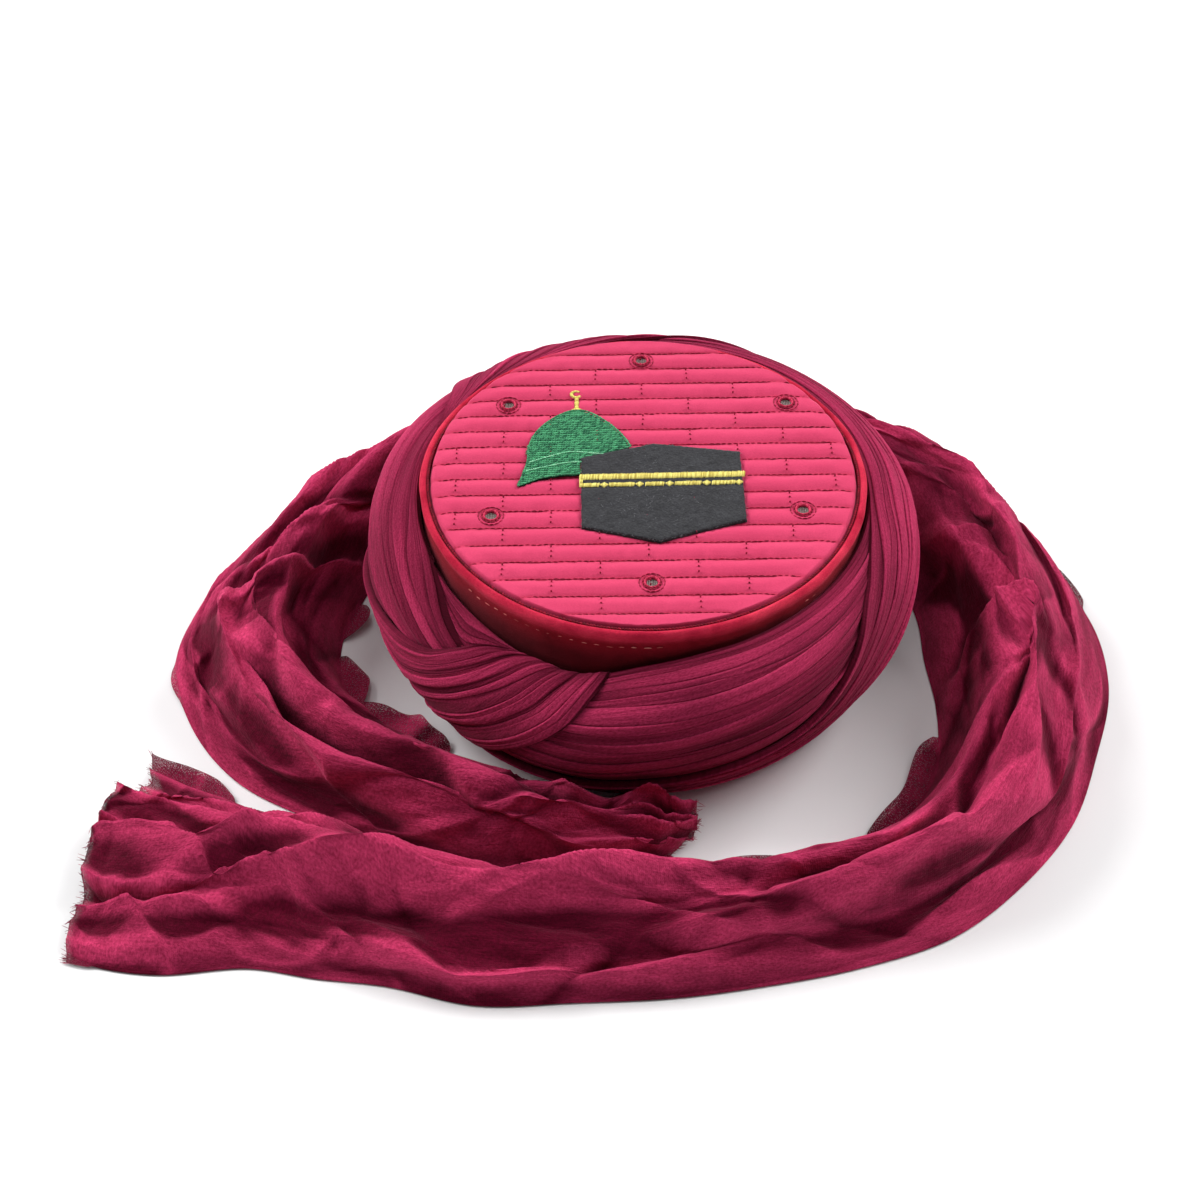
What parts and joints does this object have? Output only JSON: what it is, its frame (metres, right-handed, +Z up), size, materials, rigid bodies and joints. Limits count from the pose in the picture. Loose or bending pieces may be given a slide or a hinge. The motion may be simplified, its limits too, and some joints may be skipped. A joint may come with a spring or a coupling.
{
  "type": "turban cap",
  "caption": "Stiff flat-topped cap with a quilted crown, velvet band and vent eyelets, wound with a pleated muslin turban whose two loose tails lie round it on the surface.",
  "frame": {"origin": "on the surface that the cap rests on, at the middle of the rectangle that the cap and its tails cover", "axes": "+Z up, -Y to the front where the winding crosses in a V, +X to the right as seen from the front"},
  "size_m": [0.4492, 0.3484, 0.0971],
  "materials": {
    "quilted_cotton": "matt quilted cotton",
    "velvet": "velvet",
    "muslin": "soft matt muslin",
    "eyelet_thread": "buttonhole stitched thread",
    "black_felt": "matt felt",
    "green_thread": "satin embroidery",
    "gold_thread": "satin embroidery"
  },
  "bodies": {
    "root": {"crown_panel": "quilted_cotton", "side_band": "velvet", "wrap_left": "muslin", "wrap_inner_left": "muslin", "wrap_front_left": "muslin", "wrap_front_right": "muslin", "wrap_right": "muslin", "wrap_back": "muslin", "tail_left": "muslin", "tail_right": "muslin", "eyelet_1": "eyelet_thread", "eyelet_2": "eyelet_thread", "eyelet_3": "eyelet_thread", "eyelet_4": "eyelet_thread", "eyelet_5": "eyelet_thread", "eyelet_6": "eyelet_thread", "cube_patch": "black_felt", "gold_band": "gold_thread", "gold_bar_1": "gold_thread", "gold_bar_2": "gold_thread", "gold_bar_3": "gold_thread", "gold_bar_4": "gold_thread", "gold_bar_5": "gold_thread", "gold_diamond_1": "gold_thread", "gold_diamond_2": "gold_thread", "gold_diamond_3": "gold_thread", "gold_diamond_4": "gold_thread", "gold_diamond_5": "gold_thread", "dome_patch": "green_thread", "finial": "gold_thread"}
  },
  "joints": []
}
